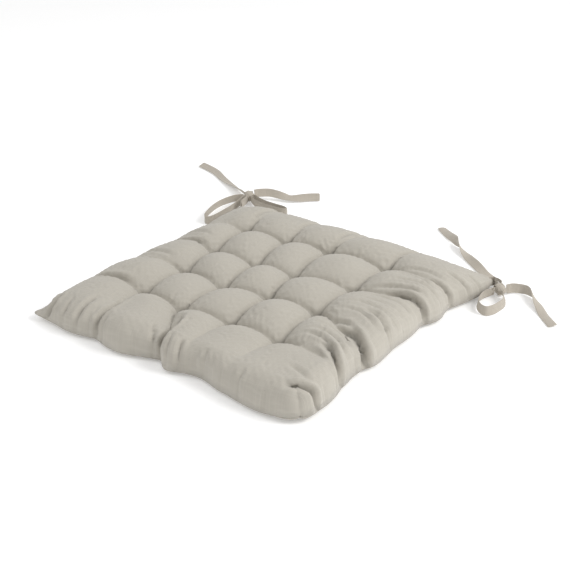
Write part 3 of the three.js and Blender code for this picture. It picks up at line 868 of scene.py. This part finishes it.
def valley_creases(x, y):
    """The thin crease along the bottom of each valley between two tufts."""
    out = np.zeros(x.shape)
    for axis, (value, along) in enumerate(((x, y), (y, x))):
        distance, number = from_line(value, TUFT_LINES[axis])
        low, high = beyond(along, TUFT_LINES[1 - axis])
        between = np.abs((along - TUFT_LINES[1 - axis][0]) / TUFT_PITCH % 1 - 0.5) * 2
        inside = (low + high) == 0
        depth = np.where(inside, 0.55 + 0.45 * between ** 2,
                         np.clip(1 - 2.4 * (low + high), 0, 1))
        out -= CREASE_DEPTH * depth * np.exp(-distance / CREASE_WIDTH)
    return out


def small_creases(x, y, seed, count):
    """Short shallow creases anywhere on a panel, and short pleats that fan out from each tuft."""
    draw = np.random.default_rng(seed)
    out = np.zeros(x.shape)
    for _ in range(count):
        start = draw.uniform(-CREASES_WITHIN, CREASES_WITHIN, 2)
        turn = draw.uniform(0, np.pi)
        reach = draw.uniform(*SMALL_REACH)
        bend = draw.uniform(*SMALL_BEND)
        step = np.array([np.cos(turn), np.sin(turn)]) * reach
        side = np.array([-step[1], step[0]]) / reach * bend
        out += groove(x, y, [start, start + step / 2 + side, start + step],
                      draw.uniform(*SMALL_DEPTH), draw.uniform(*SMALL_WIDTH))
    for middle in TUFTS.reshape(-1, 2):
        first = draw.uniform(0, np.pi)
        for k in range(FAN_PLEATS):
            turn = first + 2 * np.pi * (k + draw.uniform(*FAN_TURN)) / FAN_PLEATS
            out_way = np.array([np.cos(turn), np.sin(turn)])
            reach = draw.uniform(*FAN_REACH)
            out += groove(x, y, [middle + out_way * reach, middle + out_way * reach / 2,
                                 middle + out_way * FAN_START],
                          draw.uniform(*FAN_DEPTH), draw.uniform(*FAN_WIDTH))
    return out


def add_panel(name, node, x, y, points, pressed, turned):
    """One panel of the cover as a thin shell, with its flat pattern as UV map and the depth of its
    creases, which the linen paints as shade.
    """
    ids = np.arange(x.size).reshape(x.shape)
    quads = grid_quads(ids)
    if turned:
        quads = quads[:, ::-1]
    panel = new_object(name, points.reshape(-1, 3) * MM, quads.tolist(), cloth_material)
    set_grain(panel, np.stack([x, y], -1).reshape(-1, 2) * MM)
    # Painted shade: how deep each point is pressed into a crease, which the linen darkens as the
    # shade in it.
    crease = panel.data.attributes.new("crease", "FLOAT", "POINT")
    crease.data.foreach_set("value", np.clip(-pressed / CREASE_DEPTH, 0, 1).ravel())
    shell = panel.modifiers.new("cloth thickness", "SOLIDIFY")
    shell.thickness, shell.offset = COVER_THICKNESS * MM, -1
    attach(panel, "pad")
    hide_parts(node)


def lowest_near(field):
    """Each value of a grid replaced by the lowest among its neighbours."""
    out = field.copy()
    for axis in (0, 1):
        padded = np.concatenate([out.take([0], axis), out, out.take([-1], axis)], axis)
        count = out.shape[axis]
        out = np.minimum.reduce([padded.take(range(k, k + count), axis) for k in range(3)])
    return out


def add_filling(top, bottom, pressed_top, pressed_bottom):
    """The batt inside: one closed body that stays clear of both panels and their pleats."""
    inner = np.s_[1:-1, 1:-1]
    depth_top, depth_bottom = [BATT_CLEARANCE - lowest_near(lowest_near(np.minimum(field, 0)))
                               for field in (pressed_top, pressed_bottom)]
    high = (top - grid_normals(top) * depth_top[..., None])[inner]
    low = (bottom + grid_normals(bottom) * depth_bottom[..., None])[inner]
    high[..., 2] = lowest_near(high[..., 2])
    low[..., 2] = -lowest_near(-low[..., 2])
    thin = high[..., 2] < low[..., 2] + BATT_THINNEST
    middle = (high[..., 2] + low[..., 2]) / 2
    high[..., 2] = np.where(thin, middle + BATT_THINNEST / 2, high[..., 2])
    low[..., 2] = np.where(thin, middle - BATT_THINNEST / 2, low[..., 2])
    count = thin.size
    ids = np.arange(count).reshape(thin.shape)
    sheet = grid_quads(ids)
    rim = np.concatenate([ids[0], ids[1:, -1], ids[-1, -2::-1], ids[-2:0:-1, 0]])
    following = np.roll(rim, -1)
    wall = np.stack([rim + count, following + count, following, rim], -1)
    batt = new_object("filling_batt", np.vstack([high.reshape(-1, 3), low.reshape(-1, 3)]) * MM,
                      np.vstack([sheet, sheet[:, ::-1] + count, wall]).tolist(), fibre_material)
    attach(batt, "pad")
    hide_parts("filling")


SEAM_THREAD, SEAM_SWING, STITCH_LENGTH = 0.26, 0.28, 6
SEAM_INSET, SEAM_STEP = 0.9, 1.0


def add_seam(rim):
    """The lock stitch in the seam: two threads that cross at each stitch, all round the pad."""
    lengths = np.concatenate([[0], np.cumsum(np.linalg.norm(np.diff(rim, axis=0), axis=1))])
    steps = int(lengths[-1] / SEAM_STEP)
    way = np.linspace(0, lengths[-1], steps, endpoint=False)
    path = np.stack([np.interp(way, lengths, rim[:, k]) for k in range(3)], -1)
    stitches = np.round(lengths[-1] / STITCH_LENGTH)
    threads = []
    for phase in (0, np.pi):
        swing = SEAM_SWING * np.sin(2 * np.pi * stitches * way / lengths[-1] + phase)
        rise = np.stack([0 * swing, 0 * swing, swing], -1)
        threads.append(tube(path + rise, SEAM_THREAD, 5, closed=True))
    vertices, faces = joined(threads)
    seam = new_object("edge_seam_stitches", np.array(vertices) * MM, faces, thread_material)
    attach(seam, "pad")
    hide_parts("edge_seam_thread")


STRAND_APART, STRAND, STITCH_STRAND = 0.55, 0.45, 0.5
STRAND_PROUD, STITCH_PROUD = 0.3, 0.35
STITCH_REACH, STITCH_RISE, STITCH_DIP, STITCH_TWIST = 3.0, 0.75, 0.9, 0.9


def add_tuft(row, column, top, bottom):
    """A tuft: doubled thread right through the pad, and a two-strand stitch in each pit."""
    number = f"{TUFT_COUNT - row}_{column + 1}"
    x, y = TUFTS[row, column]
    strands = []
    for aside in (-STRAND_APART, STRAND_APART):
        heights = np.linspace(bottom - STRAND_PROUD, top + STRAND_PROUD, 5)
        strands.append(tube([(x, y + aside, z) for z in heights], STRAND))
        for height, way in ((top + STITCH_PROUD, 1), (bottom - STITCH_PROUD, -1)):
            t = np.linspace(-1, 1, 11)
            rise = way * STITCH_RISE * np.cos(np.pi / 2 * t)
            arch = np.stack([x + STITCH_REACH * t, y + aside * np.cos(np.pi * t) * STITCH_TWIST,
                             height + rise - way * STITCH_DIP * t ** 6], -1)
            strands.append(tube(arch, STITCH_STRAND))
    vertices, faces = joined(strands)
    tuft = new_object(f"tuft_{number}_stitch", np.array(vertices) * MM, faces, thread_material)
    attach(tuft, "pad")
    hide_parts(f"tuft_thread_{number}")


SEAM_ZONE, TUCK_ZONE = 2.6, 3


def add_pad():
    x, y, wx, wy, top, bottom = [double(field) for field in fill_panels()]
    inset = HALF - np.maximum(np.abs(x), np.abs(y))
    at_seam = 1 - smooth(inset, 0, SEAM_ZONE)
    pressed = valley_creases(x, y) + small_creases(wx, wy, 5, SMALL_CREASES)
    for route, depth, width in PLEATS:
        pressed += groove(wx, wy, route, depth * PLEAT_DEPTH, width * PLEAT_WIDTH)
    low = valley_creases(x, y) + small_creases(wx, wy, 9, SMALL_CREASES // 2)
    pressed, low = pressed * (1 - at_seam), low * (1 - at_seam)
    batt = [field[::2, ::2].copy() for field in (top, bottom, pressed, low)]
    top += grid_normals(top) * pressed[..., None]
    bottom -= grid_normals(bottom) * low[..., None]
    outward = np.stack([np.sign(v) * (np.abs(v) > HALF - TUCK_ZONE) for v in (x, y)], -1)
    for sheet, way in ((top, 1), (bottom, -1)):
        sheet[..., :2] -= outward * (SEAM_TUCK * at_seam)[..., None]
        sheet[..., 2] += way * SEAM_GAP * at_seam
    top[..., 2] = np.maximum(top[..., 2], FLOOR_CLEARANCE + COVER_THICKNESS)
    bottom[..., 2] = np.maximum(bottom[..., 2], FLOOR_CLEARANCE)
    add_panel("top_cover_panel", "top_cover", x, y, top, pressed, False)
    add_panel("bottom_cover_panel", "bottom_cover", x, y, bottom, low, True)
    add_filling(*batt)
    middle = (top + bottom) / 2
    edge = np.concatenate([middle[0], middle[1:, -1], middle[-1, -2::-1], middle[-2::-1, 0]])
    centre = edge.mean(0)
    pull = edge[:, :2] - centre[:2]
    edge[:, :2] -= pull / np.linalg.norm(pull, axis=1)[:, None] * SEAM_INSET
    add_seam(edge)
    for row in range(TUFT_COUNT):
        for column in range(TUFT_COUNT):
            i = np.abs(x[0] - TUFT_LINES[0][column]).argmin()
            j = np.abs(y[:, 0] - TUFT_LINES[1][row]).argmin()
            add_tuft(row, column, top[j, i, 2], bottom[j, i, 2])


add_pad()


# Stage
FLOOR_REACH, FLOOR_DROP, FLOOR_TONE, FLOOR_ROUGHNESS, FLOOR_GLOW = 40, 0.0005, 0.9, 0.6, 0.22
SKY_STRENGTH = 0.66
# Name, place, size in m and power in W of each lamp; they point at the pad.
LAMPS = (("key", (2.1, 0.7, 1.9), 1.3, 51), ("fill", (-1.6, -1.2, 2.2), 2.0, 13))


def add_stage():
    """A white floor that glows a little, so that it shows as white as the backdrop, and lamps."""
    white = plain_material("floor_white", (FLOOR_TONE,) * 3, FLOOR_ROUGHNESS, glow=FLOOR_GLOW)
    floor = new_plane("floor", FLOOR_REACH, white)
    floor.location.z = -FLOOR_DROP
    world = bpy.data.worlds.new("studio")
    world.use_nodes = True
    background = world.node_tree.nodes["Background"]
    background.inputs["Color"].default_value = (1, 1, 1, 1)
    background.inputs["Strength"].default_value = SKY_STRENGTH
    bpy.context.scene.world = world
    bpy.context.scene.view_settings.view_transform = "Standard"
    for name, place, size, power in LAMPS:
        data = bpy.data.lights.new(name, "AREA")
        data.size, data.energy = size, power
        lamp = bpy.data.objects.new(name, data)
        lamp.location = place
        lamp.rotation_euler = (-Vector(place)).to_track_quat("-Z", "Y").to_euler()
        bpy.context.collection.objects.link(lamp)


add_stage()
